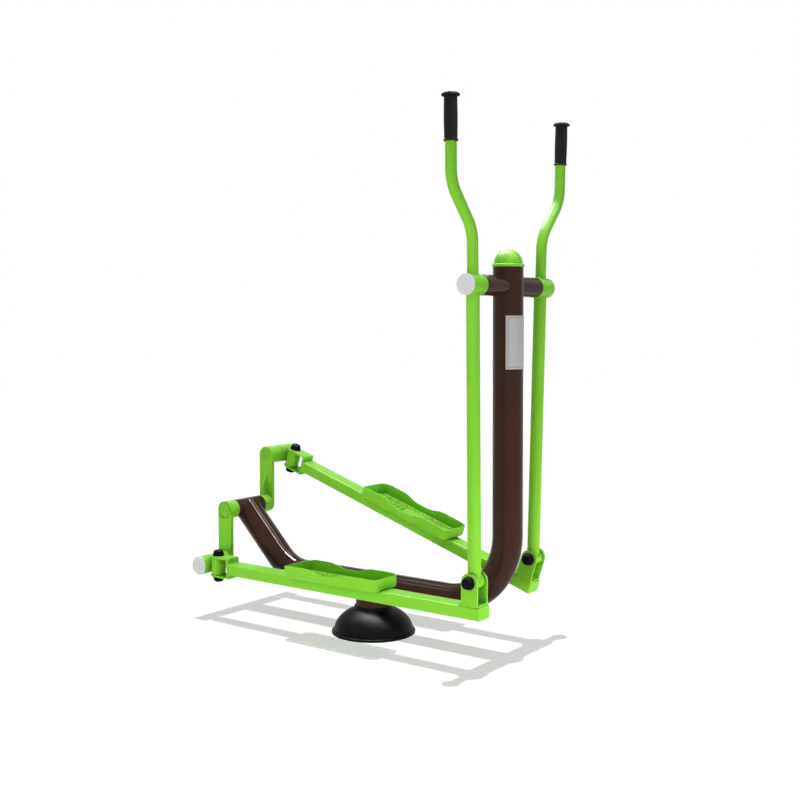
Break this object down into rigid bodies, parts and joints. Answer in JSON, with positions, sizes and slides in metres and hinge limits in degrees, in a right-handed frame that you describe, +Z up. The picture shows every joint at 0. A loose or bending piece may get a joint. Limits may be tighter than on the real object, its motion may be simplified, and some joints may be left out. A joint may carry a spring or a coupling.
{
  "type": "outdoor stepping walker",
  "caption": "Outdoor fitness walker: footplates on treadle bars driven by a crank, hung from swinging hand levers on a bent tube frame over a ground post.",
  "frame": {"origin": "on the ground, at the centre of the ground flange and of its anchor holes", "axes": "+X from the crank to the column, the way the user faces; +Y to the user's left; +Z up"},
  "size_m": [1.1387, 0.6334, 1.602],
  "materials": {
    "green_paint": "bright green powder coat, glossy",
    "brown_paint": "dark brown powder coat, glossy",
    "black_plastic": "black moulded plastic, satin",
    "grey_plastic": "light grey moulded plastic, satin",
    "grip_rubber": "black rubber, dull",
    "plain_steel": "bare machined steel",
    "bush_plastic": "off-white bearing plastic",
    "label_sheet": "bare printed-sheet blank, satin"
  },
  "bodies": {
    "frame": {"base_flange": "brown_paint", "base_gussets": "brown_paint", "base_post": "brown_paint", "base_cover": "black_plastic", "main_tube": "brown_paint", "crank_housing": "brown_paint", "housing_bearings": "plain_steel", "cross_tube": "brown_paint", "cross_tube_plugs": "plain_steel", "pivot_shaft": "plain_steel", "pivot_nuts": "plain_steel", "column_cap": "green_paint", "label_plate": "label_sheet"},
    "crank": {"crank_shaft": "plain_steel", "crank_end_discs": "green_paint", "right_crank_hub": "green_paint", "right_crank_arm": "green_paint", "left_crank_hub": "green_paint", "left_crank_arm": "green_paint"},
    "right_lever": {"right_pivot_sleeve": "green_paint", "right_pivot_bearings": "plain_steel", "right_pivot_lid": "grey_plastic", "right_lever_tube": "green_paint", "right_handle_tube": "green_paint", "right_hand_grip": "grip_rubber", "right_foot_knuckle": "green_paint", "right_knuckle_bushes": "bush_plastic"},
    "right_treadle": {"right_treadle_bar": "green_paint", "right_footplate": "green_paint", "right_front_fork": "green_paint", "right_rear_clevis": "green_paint", "right_joint_bolts": "plain_steel", "right_joint_nuts": "plain_steel", "right_joint_caps": "black_plastic"},
    "right_rear_joint": {"right_swivel_sleeve": "green_paint", "right_swivel_bushes": "bush_plastic", "right_sleeve_bearings": "plain_steel", "right_crank_pin": "plain_steel", "right_sleeve_lid": "grey_plastic"},
    "left_lever": {"left_pivot_sleeve": "green_paint", "left_pivot_bearings": "plain_steel", "left_pivot_lid": "grey_plastic", "left_lever_tube": "green_paint", "left_handle_tube": "green_paint", "left_hand_grip": "grip_rubber", "left_foot_knuckle": "green_paint", "left_knuckle_bushes": "bush_plastic"},
    "left_treadle": {"left_treadle_bar": "green_paint", "left_footplate": "green_paint", "left_front_fork": "green_paint", "left_rear_clevis": "green_paint", "left_joint_bolts": "plain_steel", "left_joint_nuts": "plain_steel", "left_joint_caps": "black_plastic"},
    "left_rear_joint": {"left_swivel_sleeve": "green_paint", "left_swivel_bushes": "bush_plastic", "left_sleeve_bearings": "plain_steel", "left_crank_pin": "plain_steel", "left_sleeve_lid": "grey_plastic"}
  },
  "joints": [
    {"name": "crank_turn", "type": "hinge", "parent": "frame", "child": "crank", "pos_m": [-0.56, 0, 0.3515], "axis": [0, 1, 0], "range_deg": [0, 90]},
    {"name": "right_lever_swing", "type": "hinge", "parent": "frame", "child": "right_lever", "pos_m": [0.5, -0.1875, 1.092], "axis": [0, 1, 0], "range_deg": [0, 11.8]},
    {"name": "right_treadle_tilt", "type": "hinge", "parent": "right_lever", "child": "right_treadle", "pos_m": [0.506, -0.1875, 0.26502], "axis": [0, 1, 0], "range_deg": [-3.55, 0]},
    {"name": "right_sleeve_swivel", "type": "hinge", "parent": "right_treadle", "child": "right_rear_joint", "pos_m": [-0.509, -0.1875, 0.1815], "axis": [0, 0, 1], "range_deg": [-1, 1]},
    {"name": "left_lever_swing", "type": "hinge", "parent": "frame", "child": "left_lever", "pos_m": [0.5, 0.1875, 1.092], "axis": [0, 1, 0], "range_deg": [-13.89, 0]},
    {"name": "left_treadle_tilt", "type": "hinge", "parent": "left_lever", "child": "left_treadle", "pos_m": [0.47812, 0.1875, 0.26529], "axis": [0, 1, 0], "range_deg": [0, 3.64]},
    {"name": "left_sleeve_swivel", "type": "hinge", "parent": "left_treadle", "child": "left_rear_joint", "pos_m": [-0.51159, 0.1875, 0.50545], "axis": [0.3147, 0, 0.9492], "range_deg": [-1, 1]}
  ],
  "couplings": [
    {"joint": "right_lever_swing", "follows": "crank_turn", "ratio": 0.13096},
    {"joint": "right_treadle_tilt", "follows": "crank_turn", "ratio": -0.039313},
    {"joint": "left_lever_swing", "follows": "crank_turn", "ratio": -0.15428},
    {"joint": "left_treadle_tilt", "follows": "crank_turn", "ratio": 0.040335}
  ]
}
